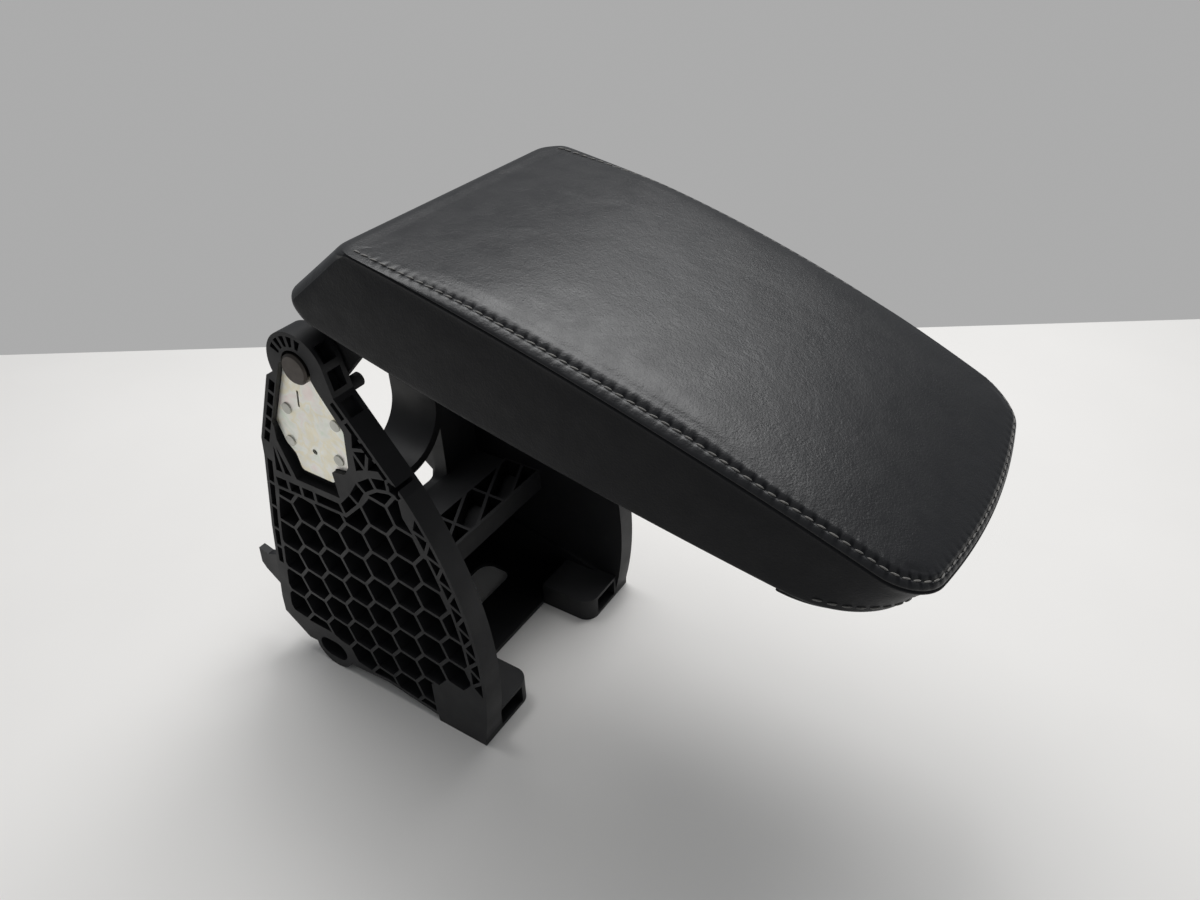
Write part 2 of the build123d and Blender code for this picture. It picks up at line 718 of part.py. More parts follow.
with BuildPart() as leather_band:
    with BuildSketch(pad_base):
        add(pad_plan.sketch_local)
    extrude(amount=pad_tallest)
    with BuildSketch(pad_side):
        add(pad_profile.sketch_local)
    extrude(amount=pad_wide, both=True, mode=Mode.INTERSECT)
    add(pad_core.part, mode=Mode.SUBTRACT)
    add(leather_top.part, mode=Mode.SUBTRACT)
    with BuildSketch(pad_base):
        offset(pad_underside.sketch_local, amount=-hem)
    extrude(amount=leather, mode=Mode.SUBTRACT)

with BuildPart() as lower_cover:
    with BuildSketch(pad_base):
        offset(pad_underside.sketch_local, amount=-hem - hem_gap)
        with Locations((pad_rear, 0)):
            Rectangle(2 * (cover_rear - pad_rear), pad_wide, mode=Mode.SUBTRACT)
        with Locations(*screw_spots):
            Circle(screw_radius + pin_fit, mode=Mode.SUBTRACT)
    extrude(amount=cover_thickness)
    for arm_face in (arm_outer, -arm_inner):
        with BuildSketch(pad_side.offset(arm_face + slot_clearance)):
            offset(arm_outline.sketch_local, amount=slot_clearance)
        extrude(amount=-yoke_gauge - 2 * slot_clearance, mode=Mode.SUBTRACT)
    with BuildSketch(pad_base):
        with Locations(*screw_spots):
            Circle(screw_head_radius + hem_gap)
    extrude(amount=cover_thickness / 2, mode=Mode.SUBTRACT)

with BuildPart() as cover_screws:
    with BuildSketch(pad_base):
        with Locations(*screw_spots):
            Circle(screw_head_radius)
    extrude(amount=cover_thickness / 2)
    with BuildSketch(pad_base):
        with Locations(*screw_spots):
            Circle(screw_radius)
    extrude(amount=screw_length)

with BuildPart() as pad_carrier:
    with BuildSketch(pad_base.offset(cover_thickness)):
        offset(pad_underside.sketch_local, amount=-carrier_inset)
        with Locations((pad_rear, 0)):
            Rectangle(2 * (carrier_rear - pad_rear), pad_wide, mode=Mode.SUBTRACT)
    extrude(amount=carrier_height - cover_thickness)
    with BuildSketch(pad_base.offset(cover_thickness)):
        offset(pad_underside.sketch_local, amount=-carrier_inset - carrier_wall)
        with Locations((pad_rear, 0)):
            Rectangle(2 * (carrier_rear + carrier_wall - pad_rear), pad_wide, mode=Mode.SUBTRACT)
    extrude(amount=carrier_height - carrier_wall - cover_thickness, mode=Mode.SUBTRACT)
    with BuildSketch(pad_base.offset(yoke_plate_top)):
        with Locations(*screw_spots):
            Circle(screw_radius + boss_wall)
    extrude(amount=carrier_height - carrier_wall - yoke_plate_top)
    with BuildSketch(pad_base.offset(yoke_plate_top)):
        with Locations(*screw_spots):
            Circle(screw_radius)
    extrude(amount=screw_length - yoke_plate_top, mode=Mode.SUBTRACT)

with BuildPart() as foam_pad:
    add(pad_core.part)
    with BuildSketch(pad_base):
        offset(pad_underside.sketch_local, amount=-hem)
        with Locations((pad_rear, 0)):
            Rectangle(2 * (cover_rear - pad_rear), pad_wide, mode=Mode.SUBTRACT)
    extrude(amount=cover_thickness, mode=Mode.SUBTRACT)
    with BuildSketch(pad_base):
        offset(pad_underside.sketch_local, amount=-carrier_inset)
        with Locations((pad_rear, 0)):
            Rectangle(2 * (carrier_rear - pad_rear), pad_wide, mode=Mode.SUBTRACT)
    extrude(amount=carrier_height, mode=Mode.SUBTRACT)

with BuildPart() as front_lip:
    with BuildSketch(pad_base):
        with Locations((-nose_undercut, 0)):
            add(lip_plan.sketch_local)
        Rectangle(2 * lip_rear, pad_wide, mode=Mode.SUBTRACT)
    extrude(amount=-lip_thickness)
    chamfer(front_lip.faces().sort_by(Axis(hinge_point, pad_up))[0].edges(), lip_round)

pieces = {
    "right_side_wall": right_side_wall,
    "left_side_wall": left_side_wall,
    "floor": floor,
    "shelf": shelf,
    "rear_panel": rear_panel,
    "duct_collar": duct_collar,
    "hinge_yoke": hinge_yoke,
    "leather_top": leather_top,
    "leather_band": leather_band,
    "lower_cover": lower_cover,
    "cover_screws": cover_screws,
    "pad_carrier": pad_carrier,
    "foam_pad": foam_pad,
    "front_lip": front_lip,
}
paired = {
    "hinge_plate": right_hinge_plate,
    "plate_rivets": right_plate_rivets,
    "hinge_pin": right_hinge_pin,
    "pin_clip": right_pin_clip,
    "stop_buffer": right_stop_buffer,
    "hinge_bush": right_bush,
    "spring_washer": right_spring_washer,
}
for kind, right_piece in paired.items():
    pieces["right_" + kind] = right_piece
    pieces["left_" + kind] = mirrored(right_piece)

os.makedirs("parts", exist_ok=True)
for name, piece in pieces.items():
    piece.part.label = name
    export_step(piece.part, "parts/" + name + ".step")
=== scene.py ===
import json
from math import atan2, ceil, cos, pi, radians, sin
from random import Random

import bmesh
import bpy
from bpy.props import FloatProperty, FloatVectorProperty, PointerProperty
from mathutils import Matrix, Vector
from mathutils.bvhtree import BVHTree
from mathutils.kdtree import KDTree


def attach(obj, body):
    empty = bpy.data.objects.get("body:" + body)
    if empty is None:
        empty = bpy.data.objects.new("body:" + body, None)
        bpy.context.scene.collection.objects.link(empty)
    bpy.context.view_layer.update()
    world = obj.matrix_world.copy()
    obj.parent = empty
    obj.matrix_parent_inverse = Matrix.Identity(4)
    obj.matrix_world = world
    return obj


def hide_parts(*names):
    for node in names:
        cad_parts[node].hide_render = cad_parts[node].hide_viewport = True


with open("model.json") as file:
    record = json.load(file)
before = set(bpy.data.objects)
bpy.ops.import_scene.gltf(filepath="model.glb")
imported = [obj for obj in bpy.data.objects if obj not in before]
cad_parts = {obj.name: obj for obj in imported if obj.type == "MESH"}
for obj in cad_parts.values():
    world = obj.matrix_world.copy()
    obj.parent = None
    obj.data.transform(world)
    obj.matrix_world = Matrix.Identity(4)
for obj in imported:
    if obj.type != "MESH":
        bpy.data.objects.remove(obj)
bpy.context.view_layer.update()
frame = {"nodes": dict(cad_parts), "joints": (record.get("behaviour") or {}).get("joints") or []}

bl_info = {
    "name": "Car Centre Armrest",
    "version": (1, 0, 0),
    "blender": (4, 5, 0),
    "location": "View3D > Sidebar > Armrest",
    "description": "Dresses a car centre armrest in leather, moulded plastic and plated steel",
    "category": "Object",
}

MM = 0.001
HINGE = Vector(frame["joints"][0]["pos_m"])

# Cross-section of the sewn edge in millimetres, from the panel over the stitch row and the welt to the
# seam and the side band: inset from the side and rise above the seam
SEWN_EDGE = (
    (10.5, 5.5),
    (9.3, 5.4),
    (8.2, 5.1),
    (7.2, 4.6),
    (6.3, 3.95),
    (5.6, 3.3),
    (5.05, 2.75),
    (4.6, 2.95),
    (3.9, 3.0),
    (3.0, 2.75),
    (2.0, 2.2),
    (1.1, 1.6),
    (0.4, 0.95),
    (0.2, 0.4),
    (0.6, 0.05),
    (1.1, -0.1),
    (0.6, -0.4),
    (0.2, -0.75),
    (0.15, -1.2),
    (0.45, -1.8),
)
# Steps of the sewn edge that the stitches and the seam run along
STITCHES, SEAM = 6, 15
# Segments of the panel's corners and cuts along its sides and nose
NOSE_STEPS, REAR_STEPS, SIDE_CUTS, NOSE_CUTS = 14, 8, 82, 39
# Rings of the side band and of the turn at its foot
BAND_RINGS, TURN_RINGS = 11, 8
# What a point of the leather belongs to: the panel and the band are free, the rest is held
RIM, PANEL, SEWN, BAND, HEM = range(5)
# Angle between the underside and the rear bevel, and radius of the foot elsewhere
BEVEL_ANGLE = 0.872
SIDE_ROUND = 4 * MM
# Hem at the rear, deeper than at the sides, and how far every hem turns up
REAR_HEM, HEM_RISE = 19.6 * MM, 4.2 * MM
# Frames that the cloth is stepped through
CLOTH_FRAMES = 20
# Shares of the sewn edge's width and of its roll's height that are left towards the nose, and share of
# that width that is left round the nose
NOSE_SEAM, NOSE_ROLL, ROUND_NOSE_SEAM = 0.62, 0.88, 0.65
# Hollow of the side band between its seam and its foot
BAND_HOLLOW = 0.6 * MM
# Stitch row above the lip: how far in from the lip's rear it starts, and its height at its ends and at
# the nose as shares of the size that sets it
LIP_ROW_START = 10 * MM
LIP_ROW_LOW, LIP_ROW_HIGH = 0.55, 1.35
# How far outside the leather a stitch is looked for, and how far in
STITCH_START, STITCH_REACH = 8 * MM, 20 * MM
# How far the stitches lean, in degrees, and how much that varies
STITCH_LEAN, LEAN_SPREAD = 7, 4
# Rounding of the lip's edges
LIP_EDGE_ROUND = 0.7 * MM
# Gloss and range of roughness of the top and of the duller leather below the seam, and gloss of the
# holes between the stitches
TOP_GLOSS, TOP_ROUGH = 0.48, (0.35, 0.44)
SIDE_GLOSS, SIDE_ROUGH = 0.17, (0.42, 0.52)
HOLE_GLOSS = 0.16
# Distance from the stitch row over which its puckers fade
PUCKER_REACH = 0.0035
# Stands for a place that no stitch reaches
FAR_FROM_SEAM = 0.05
# Pores of the leather along a metre
PORES_PER_METRE = 1250.0
# Floor: half of its side, the middle of its far edge and how far it is turned
FLOOR_HALF = 1.5
FLOOR_EDGE = (-0.161, 0.401, 0)
FLOOR_TURN = atan2(0.3583, 0.5541)
# What the lamps point at
LAMP_AIM = Vector((0.08, 0, 0.2))
SENSOR_WIDTH = 36.0


def length(name, description, millimetres):
    """A size that a user may change, kept in metres."""
    return FloatProperty(
        name=name, description=description, default=millimetres * MM, unit="LENGTH", precision=5
    )


def amount(name, description, value, **kind):
    """A plain number that a user may change."""
    return FloatProperty(name=name, description=description, default=value, **kind)


def tint(name, description, *rgb):
    """A colour that a user may change."""
    return FloatVectorProperty(
        name=name, description=description, default=rgb, subtype="COLOR", min=0.0, max=1.0
    )


class ArmrestSizes(bpy.types.PropertyGroup):
    """Sizes of the padded top, its seam and its stitches"""

    pad_tilt: amount("Pad tilt", "How far the pad leans nose-down", radians(12.65), subtype="ANGLE")
    pad_rise: length("Pad rise", "Underside of the pad above the hinge axis", 32.0)
    rear_edge: length("Rear edge", "Where the top ends and the rear bevel starts", 29.5)
    rear_height: length("Rear height", "Height of the top at the rear edge", 53.4)
    bevel_foot: length("Bevel foot", "Where the rear bevel would meet the underside", -16.5)
    crown_place: length("Crown place", "Where along the pad the middle height is measured", 180.0)
    crown_height: length("Middle height", "Height of the top's seam at that place", 49.6)
    nose: length("Nose", "Front end of the pad", 327.0)
    nose_height: length("Nose height", "Height of the top's seam at the nose", 25.6)
    nose_undercut: length("Nose undercut", "How far the underside lies behind the nose", 9.0)
    nose_sweep: length("Nose sweep", "How far the nose curves back at its corners", 8.0)
    nose_corner: length("Nose corner", "Corner radius of the nose", 20.0)
    rear_corner: length("Rear corner", "Corner radius at the rear edge", 12.0)
    foot_corner: length("Foot corner", "Corner radius of the nose where the leather turns under", 48.0)
    half_width: length("Half width", "Half of the widest part", 88.0)
    widest_place: length("Widest place", "Where along the pad it is widest", 165.0)
    half_front: length("Half front width", "Half width at the nose corners", 80.5)
    half_rear: length("Half rear width", "Half width at the rear foot", 84.0)
    rear_foot: length("Rear foot", "Where the half rear width is measured", -12.0)
    nose_corner_place: length("Nose corner place", "Where the half front width is measured", 313.0)
    panel_crown: length("Panel crown", "How far the panel stands above its edge before filling", 2.0)
    puff: length("Puff", "The most that the filling pushes the leather out", 2.5)
    stitch_pitch: length("Stitch pitch", "From one stitch to the next", 5.4)
    stitch_length: length("Stitch length", "Length of thread that shows in a stitch", 4.1)
    thread: length("Thread", "Thickness of the thread", 0.95)
    lip_rear: length("Lip rear", "Where the lip under the nose starts", 268.0)
    lip_seam: length("Lip seam", "Stitch row above the lip", 8.0)
    hem: length("Hem", "Leather turned under the edge", 8.0)
    foot_round: length("Foot round", "Radius where the rear bevel turns under", 7.7)
    edge_round: length("Edge round", "Radius where the top rolls over the rear edge", 12.0)


class ArmrestColours(bpy.types.PropertyGroup):
    """Colours of the leather, thread, plastic and metal"""

    leather: tint("Leather", "Dyed leather", 0.0042, 0.0045, 0.0060)
    leather_worn: tint("Worn leather", "Paler leather in the blotches", 0.0068, 0.0070, 0.0082)
    thread: tint("Thread", "Stitching thread", 0.18, 0.173, 0.162)
    moulding: tint("Moulding", "Moulded black plastic", 0.0065, 0.0066, 0.0078)
    moulding_pale: tint("Pale moulding", "Moulded plastic where it is rubbed", 0.0125, 0.0126, 0.0140)
    zinc: tint("Zinc", "Zinc plating", 0.94, 0.94, 0.88)
    zinc_gold: tint("Gold zinc", "Passivated plating that has turned gold", 0.94, 0.89, 0.72)
    zinc_green: tint("Green zinc", "Passivated plating that has turned green", 0.82, 0.88, 0.77)
    zinc_rose: tint("Rose zinc", "Passivated plating that has turned pink", 0.95, 0.86, 0.82)
    rivet: tint("Rivet", "Plated rivets, duller than the plate", 0.60, 0.60, 0.55)
    pin: tint("Pin", "Dark steel of the hinge pins", 0.085, 0.075, 0.068)
    spring: tint("Spring steel", "Bare spring steel", 0.42, 0.42, 0.43)
    black_steel: tint("Black steel", "Painted steel", 0.022, 0.022, 0.023)
    rubber: tint("Rubber", "Stop buffers", 0.012, 0.012, 0.012)
    bush: tint("Bush", "Hinge bushes", 0.30, 0.29, 0.26)


class ArmrestStage(bpy.types.PropertyGroup):
    """Floor, backdrop, lamps and camera"""

    floor: tint("Floor", "Pale floor", 0.80, 0.785, 0.765)
    backdrop: tint("Backdrop", "Pale grey behind the floor", 0.41, 0.41, 0.41)
    sky: tint("Sky", "Soft light from all round", 0.94, 0.97, 1.0)
    sky_strength: amount("Sky strength", "Strength of the light from all round", 0.27)
    ceiling_power: amount("Ceiling power", "Power of the soft lamp overhead", 13.0, subtype="POWER")
    sheen_power: amount(
        "Sheen power", "Power of the soft lamp that shows in the leather", 16.0, subtype="POWER"
    )
    camera_place: FloatVectorProperty(
        name="Camera place",
        description="Where the camera stands",
        default=(0.3217, -0.34363, 0.48031),
        subtype="TRANSLATION",
    )
    camera_turn: FloatVectorProperty(
        name="Camera turn",
        description="How the camera is turned",
        default=(radians(54.527), radians(1.549), radians(32.168)),
        subtype="EULER",
    )
    lens: amount("Lens", "Focal length in millimetres", 27.437)


def smooth_step(x):
    """0 below 0, 1 above 1 and a soft ramp between."""
    x = min(max(x, 0.0), 1.0)
    return x * x * (3 - 2 * x)


def mix(a, b, share):
    """A value that far from a to b."""
    return a + (b - a) * share


def through(points, x):
    """Height at x of the parabola through three points."""
    (x0, y0), (x1, y1), (x2, y2) = points
    first = (y1 - y0) / (x1 - x0)
    second = ((y2 - y1) / (x2 - x1) - first) / (x2 - x0)
    return y0 + first * (x - x0) + second * (x - x0) * (x - x1)


def edge_height(s, u):
    """Height above the underside of the seam that the top panel is sewn to."""
    rear, middle = (s.rear_edge, s.rear_height), (s.crown_place, s.crown_height)
    return through((rear, middle, (s.nose, s.nose_height)), max(u, s.rear_edge))


def half_width(s, u):
    """Half of the pad's width at that place along it."""
    rear, middle = (s.rear_foot, s.half_rear), (s.widest_place, s.half_width)
    return through((rear, middle, (s.nose_corner_place, s.half_front)), u)


def towards_nose(s, u):
    """0 over the rear half of the pad and 1 over its front."""
    return smooth_step((u - s.crown_place - 25 * MM) / (50 * MM))


def seam_size(s, u):
    """How wide the sewn edge is: narrower towards the nose, and narrowest round it."""
    round_it = smooth_step((u - s.nose + 15 * MM) / (10 * MM))
    return mix(1.0, NOSE_SEAM, towards_nose(s, u)) * mix(1.0, ROUND_NOSE_SEAM, round_it)


def top_height(s, u):
    """Height of the panel beside its rolled edge, level with the seam only at the rear."""
    full = smooth_step((u - s.rear_edge - 2 * MM) / (80 * MM))
    roll = SEWN_EDGE[0][1] * MM * full * mix(1.0, NOSE_ROLL, towards_nose(s, u))
    return edge_height(s, u) + roll


def crown(s, u, y):
    """How far the panel stands above its edge at a place, before it is filled."""
    wide = abs(y) / half_width(s, u)
    rear = smooth_step((u - s.rear_edge - 6 * MM) / (90 * MM))
    front = smooth_step((s.nose - 8 * MM - u) / (60 * MM))
    return s.panel_crown * (1 - wide**4) * rear * front


def pad_frame(s):
    """From the pad's own lengths along, across and above its underside to the model's frame."""
    along = Vector((cos(s.pad_tilt), 0, -sin(s.pad_tilt)))
    up = Vector((sin(s.pad_tilt), 0, cos(s.pad_tilt)))
    place = HINGE + up * s.pad_rise
    return Matrix.Translation(place) @ Matrix((along, (0, 1, 0), up)).transposed().to_4x4()


def new_object(name, mesh, body):
    """A piece that rides on a body."""
    piece = bpy.data.objects.new(name, mesh)
    bpy.context.scene.collection.objects.link(piece)
    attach(piece, body)
    return piece


def smooth_mesh(name, bm):
    """A mesh from a bmesh, shaded smooth."""
    for face in bm.faces:
        face.smooth = True
    mesh = bpy.data.meshes.new(name)
    bm.to_mesh(mesh)
    bm.free()
    return mesh


def edge_loop(bm, s):
    """The vertices, in order, of the closed loop that the top panel's edge follows in plan.
    It starts at the middle of the rear edge and runs along the right side first."""
    wide = s.half_width
    spots = [(s.rear_edge, -wide, 0), (s.nose, -wide, 0), (s.nose, wide, 0), (s.rear_edge, wide, 0)]
    corners = [bm.verts.new(spot) for spot in spots]
    bm.faces.new(corners)
    at_nose = (corners[1:3], s.nose_corner, NOSE_STEPS)
    at_rear = (corners[::3], s.rear_corner, REAR_STEPS)
    for pair, radius, steps in (at_nose, at_rear):
        bmesh.ops.bevel(
            bm, geom=pair, affect="VERTICES", offset=radius, segments=steps, profile=0.5, material=-1
        )
    long_edges = [e for e in bm.edges if e.calc_length() > s.half_width]
    across = [e for e in long_edges if abs(e.verts[0].co.x - e.verts[1].co.x) < MM]
    sides = [e for e in long_edges if e not in across]
    rear = [e for e in across if e.verts[0].co.x < s.crown_place]
    nose = [e for e in across if e not in rear]
    bmesh.ops.subdivide_edges(bm, edges=sides, cuts=SIDE_CUTS)
    bmesh.ops.subdivide_edges(bm, edges=nose, cuts=NOSE_CUTS)
    bmesh.ops.subdivide_edges(bm, edges=rear, cuts=NOSE_CUTS + NOSE_STEPS - REAR_STEPS)
    bmesh.ops.delete(bm, geom=bm.faces[:], context="FACES_ONLY")
    start = min(bm.verts, key=lambda v: (round(v.co.x, 6), abs(v.co.y)))
    ring = [start]
    ahead = min((e.other_vert(start) for e in start.link_edges), key=lambda v: v.co.y)
    while ahead is not start:
        ring.append(ahead)
        ahead = next(v for v in (e.other_vert(ahead) for e in ahead.link_edges) if v is not ring[-2])
    for v in ring:
        share = smooth_step((v.co.x - s.widest_place) / (s.nose - s.widest_place))
        swept = v.co.x - s.nose_sweep * (v.co.y / s.half_front) ** 2 * share
        v.co = Vector((swept, v.co.y * half_width(s, swept) / s.half_width, 0))
    return ring


def rolled_edge(s, step):
    """Inset and drop of the plain rear edge, where the panel rolls over, at a step of the sewn edge."""
    reach = s.edge_round * sin(BEVEL_ANGLE / 2) / cos(BEVEL_ANGLE / 2)
    flat = SEWN_EDGE[0][0] * MM - reach
    way = (flat + s.edge_round * BEVEL_ANGLE) * step / (len(SEWN_EDGE) - 1)
    turn = max(way - flat, 0.0) / s.edge_round
    inset = reach - s.edge_round * sin(turn) if turn else SEWN_EDGE[0][0] * MM - way
    return inset, s.edge_round * (1 - cos(turn))


class PadSkin:
    """Where each ring of the leather runs, told by the place along the edge."""

    def __init__(self, s, ring):
        self.s = s
        self.edge = [v.co.to_2d() for v in ring]
        count = len(ring)
        self.inward, self.along = [], [0.0]
        for i in range(count):
            run = self.edge[(i + 1) % count] - self.edge[i - 1]
            self.inward.append(Vector((-run.y, run.x)).normalized())
            self.along.append(self.along[-1] + (self.edge[(i + 1) % count] - self.edge[i]).length)
        self.sewn = [smooth_step((p.x - s.rear_edge - 1.0 * MM) / (9 * MM)) for p in self.edge]
        self.rear = [1 - smooth_step((p.x - s.rear_edge) / (24 * MM)) for p in self.edge]
        self.height = [edge_height(s, p.x) for p in self.edge]
        self.foot = []
        for p in self.edge:
            share = (p.x - s.rear_edge) / (s.nose - s.rear_edge)
            foot = mix(s.bevel_foot, s.nose - s.nose_undercut, share)
            across = p.y * half_width(s, foot) / half_width(s, p.x)
            self.foot.append(self.rounded(Vector((foot, across))))

    def rounded(self, p):
        """A point of the foot's outline, drawn in as the nose corners are rounder below than above."""
        s = self.s
        u = s.nose - s.nose_undercut - s.foot_corner
        centre = Vector((u - 3 * MM, half_width(s, u) - s.foot_corner))
        arm = Vector((p.x, abs(p.y))) - centre
        if min(arm) <= 0 or arm.length <= s.foot_corner:
            return p
        inner = centre + arm * s.foot_corner / arm.length
        return Vector((inner.x, inner.y if p.y > 0 else -inner.y))

    def point(self, i, inset, height):
        """A point of the side at that height, that far inside its face."""
        level = 1 - height / self.height[i]
        plan = self.edge[i].lerp(self.foot[i], level) + self.inward[i] * inset
        return Vector((plan.x, plan.y, height))

    def seam(self, i, step):
        """A point of the sewn edge, which fades into the rolled edge at the rear."""
        s, u = self.s, self.edge[i].x
        inset, rise = SEWN_EDGE[step]
        if step < SEAM:
            inset = mix(SEWN_EDGE[SEAM][0], inset, seam_size(s, u))
            rise *= (top_height(s, u) - self.height[i]) / (SEWN_EDGE[0][1] * MM)
        plain, drop = rolled_edge(s, step)
        plan_sewn = self.edge[i] + self.inward[i] * inset * MM
        plan_plain = self.edge[i] + self.inward[i] * plain
        plan = plan_plain.lerp(plan_sewn, self.sewn[i])
        rolled = top_height(s, plan_plain.x) - drop
        return Vector((plan.x, plan.y, mix(rolled, self.height[i] + rise * MM, self.sewn[i])))

    def band(self, i, step):
        """A point of the side band between the seam and the turn at its foot."""
        s = self.s
        share = step / BAND_RINGS
        top = self.seam(i, len(SEWN_EDGE) - 1).z
        low = mix(SIDE_ROUND, s.foot_round * (1 + cos(BEVEL_ANGLE)), self.rear[i])
        hollow = BAND_HOLLOW * sin(pi * share) * (1 - self.rear[i])
        start = mix(SEWN_EDGE[-1][0] * MM, 0.0, self.rear[i]) * (1 - share)
        return self.point(i, start + hollow, mix(top, low, share))

    def turn(self, i, step):
        """A point of the rounded foot, where the leather turns under."""
        s = self.s
        share = step / TURN_RINGS
        side = pi / 2 * share
        small = Vector((SIDE_ROUND * (1 - cos(side)), SIDE_ROUND * (1 - sin(side))))
        angle = pi / 2 + BEVEL_ANGLE + (pi - BEVEL_ANGLE) * share
        height = s.foot_round * (1 + sin(angle))
        reach = s.foot_round * cos(BEVEL_ANGLE / 2) / sin(BEVEL_ANGLE / 2)
        round_at = s.bevel_foot + reach + s.foot_round * cos(angle)
        bevel_at = mix(s.bevel_foot, s.rear_edge, height / s.rear_height)
        big = Vector((round_at - bevel_at, height))
        inset, height = small.lerp(big, self.rear[i])
        return self.point(i, inset, max(height, 0.0))

    def lip_row(self, i):
        """A point of the stitch row above the lip, which rises towards the nose."""
        s = self.s
        share = (self.foot[i].x - s.lip_rear) / (s.nose - s.nose_undercut - s.lip_rear)
        return self.point(i, 0.0, s.lip_seam * mix(LIP_ROW_LOW, LIP_ROW_HIGH, share))

    def hem(self, i, height):
        """The inner edge of the turned-under leather."""
        s = self.s
        return self.point(i, mix(s.hem, REAR_HEM, self.rear[i]), 0.0) + Vector((0, 0, height))


def pad_shape(s):
    """The leather-covered pad as a closed bmesh in its own lengths, and where its rings run."""
    bm = bmesh.new()
    place = bm.verts.layers.int.new("place")
    kind = bm.verts.layers.int.new("kind")
    ring = edge_loop(bm, s)
    skin = PadSkin(s, ring)
    for i, v in enumerate(ring):
        v[place] = i
        v.co = skin.seam(i, 0)
    rear_half = (NOSE_CUTS + 1 + NOSE_STEPS) // 2
    side = SIDE_CUTS + 1 + NOSE_STEPS // 2 + REAR_STEPS // 2
    front = NOSE_CUTS + 1 + NOSE_STEPS
    starts = (rear_half, rear_half + side + front)
    rails = [range(start, start + side) for start in starts]
    loop = [bm.edges.get((ring[i], ring[(i + 1) % len(ring)])) for i in range(len(ring))]
    bmesh.ops.grid_fill(bm, edges=[loop[i] for rail in rails for i in rail], use_interp_simple=True)
    for v in [v for v in bm.verts if not v.is_boundary]:
        v[kind] = PANEL
        u, y = v.co.xy
        v.co.z = top_height(s, u) + crown(s, u, y)
    sewn_steps = range(1, len(SEWN_EDGE))
    steps = [(SEWN if k <= SEAM else HEM, lambda i, k=k: skin.seam(i, k)) for k in sewn_steps]
    steps += [(BAND, lambda i, k=k: skin.band(i, k)) for k in range(1, BAND_RINGS + 1)]
    steps += [(HEM, lambda i, k=k: skin.turn(i, k)) for k in range(1, TURN_RINGS + 1)]
    steps += [(HEM, lambda i, h=h: skin.hem(i, h)) for h in (0.0, HEM_RISE)]
    edges, last = loop, ring
    for what, where in steps:
        made = bmesh.ops.extrude_edge_only(bm, edges=edges)["geom"]
        edges = [g for g in made if isinstance(g, bmesh.types.BMEdge)]
        fresh = [g for g in made if isinstance(g, bmesh.types.BMVert)]
        for v in fresh:
            v.co = where(v[place])
            v[kind] = what
        last = sorted(fresh, key=lambda v: v[place])
    foot = [bm.edges.get((last[i], last[i + 1])) for rail in rails for i in rail]
    bmesh.ops.grid_fill(bm, edges=foot, use_interp_simple=True)
    for face in bm.faces:
        for v in face.verts:
            if v[kind] == RIM and v.co.z < 5 * MM:
                v[kind] = HEM
        lower = any(v[kind] in (BAND, HEM) for v in face.verts)
        below = lower and skin.sewn[face.verts[0][place]] > 0.5
        face.material_index = 1 if below else 0
    bmesh.ops.recalc_face_normals(bm, faces=bm.faces)
    return bm, skin


def fill_pad(pad, cap):
    """Presses the leather out between its seams as the foam does, and caps how far it moves."""
    scene = bpy.context.scene
    rest = [v.co.copy() for v in pad.data.vertices]
    cloth = pad.modifiers.new("filling", "CLOTH")
    cloth.settings.quality = 6
    cloth.settings.mass = 0.3
    cloth.settings.tension_stiffness = 18
    cloth.settings.compression_stiffness = 18
    cloth.settings.shear_stiffness = 8
    cloth.settings.bending_stiffness = 2
    cloth.settings.use_pressure = True
    cloth.settings.uniform_pressure_force = 4
    cloth.settings.effector_weights.gravity = 0
    cloth.settings.vertex_group_mass = "sewn_down"
    cloth.collision_settings.use_collision = False
    cloth.point_cache.frame_start = 1
    cloth.point_cache.frame_end = CLOTH_FRAMES
    for step in range(1, CLOTH_FRAMES + 1):
        scene.frame_set(step)
    graph = bpy.context.evaluated_depsgraph_get()
    filled = bpy.data.meshes.new_from_object(pad.evaluated_get(graph))
    pad.modifiers.remove(cloth)
    for v, start in zip(pad.data.vertices, rest):
        move = filled.vertices[v.index].co - start
        if move.length > cap:
            move *= cap / move.length
        v.co = start + move
    bpy.data.meshes.remove(filled)
    scene.frame_set(1)


def seam_lines(mesh, skin, to_pad):
    """Writes on the mesh how far each point lies along the stitch row and across from it."""
    count = len(skin.edge)
    row = [skin.seam(i, STITCHES) for i in range(count)]
    tree = KDTree(count)
    for i, p in enumerate(row):
        tree.insert((p.x, p.y, 0), i)
    tree.balance()
    along = mesh.attributes.new("seam_along", "FLOAT", "POINT")
    across = mesh.attributes.new("seam_across", "FLOAT", "POINT")
    for v in mesh.vertices:
        p = to_pad @ v.co
        _, i, far = tree.find((p.x, p.y, 0))
        run = Vector((skin.inward[i].y, -skin.inward[i].x))
        on_top = p.z > skin.height[i] + 0.3 * MM
        along.data[v.index].value = skin.along[i] + (p.to_2d() - row[i].to_2d()).dot(run)
        away = mix(FAR_FROM_SEAM, far, skin.sewn[i])
        across.data[v.index].value = away if on_top else FAR_FROM_SEAM


def add(tree, kind, inputs=None, **settings):
    """A shader node with its settings, and values or links for its inputs."""
    node = tree.nodes.new(kind)
    for name, value in settings.items():
        setattr(node, name, value)
    for name, value in (inputs or {}).items():
        if isinstance(value, bpy.types.NodeSocket):
            tree.links.new(value, node.inputs[name])
        else:
            node.inputs[name].default_value = value
    return node


def solve(tree, operation, *values):
    """A maths node's answer."""
    return add(tree, "ShaderNodeMath", dict(enumerate(values)), operation=operation).outputs[0]


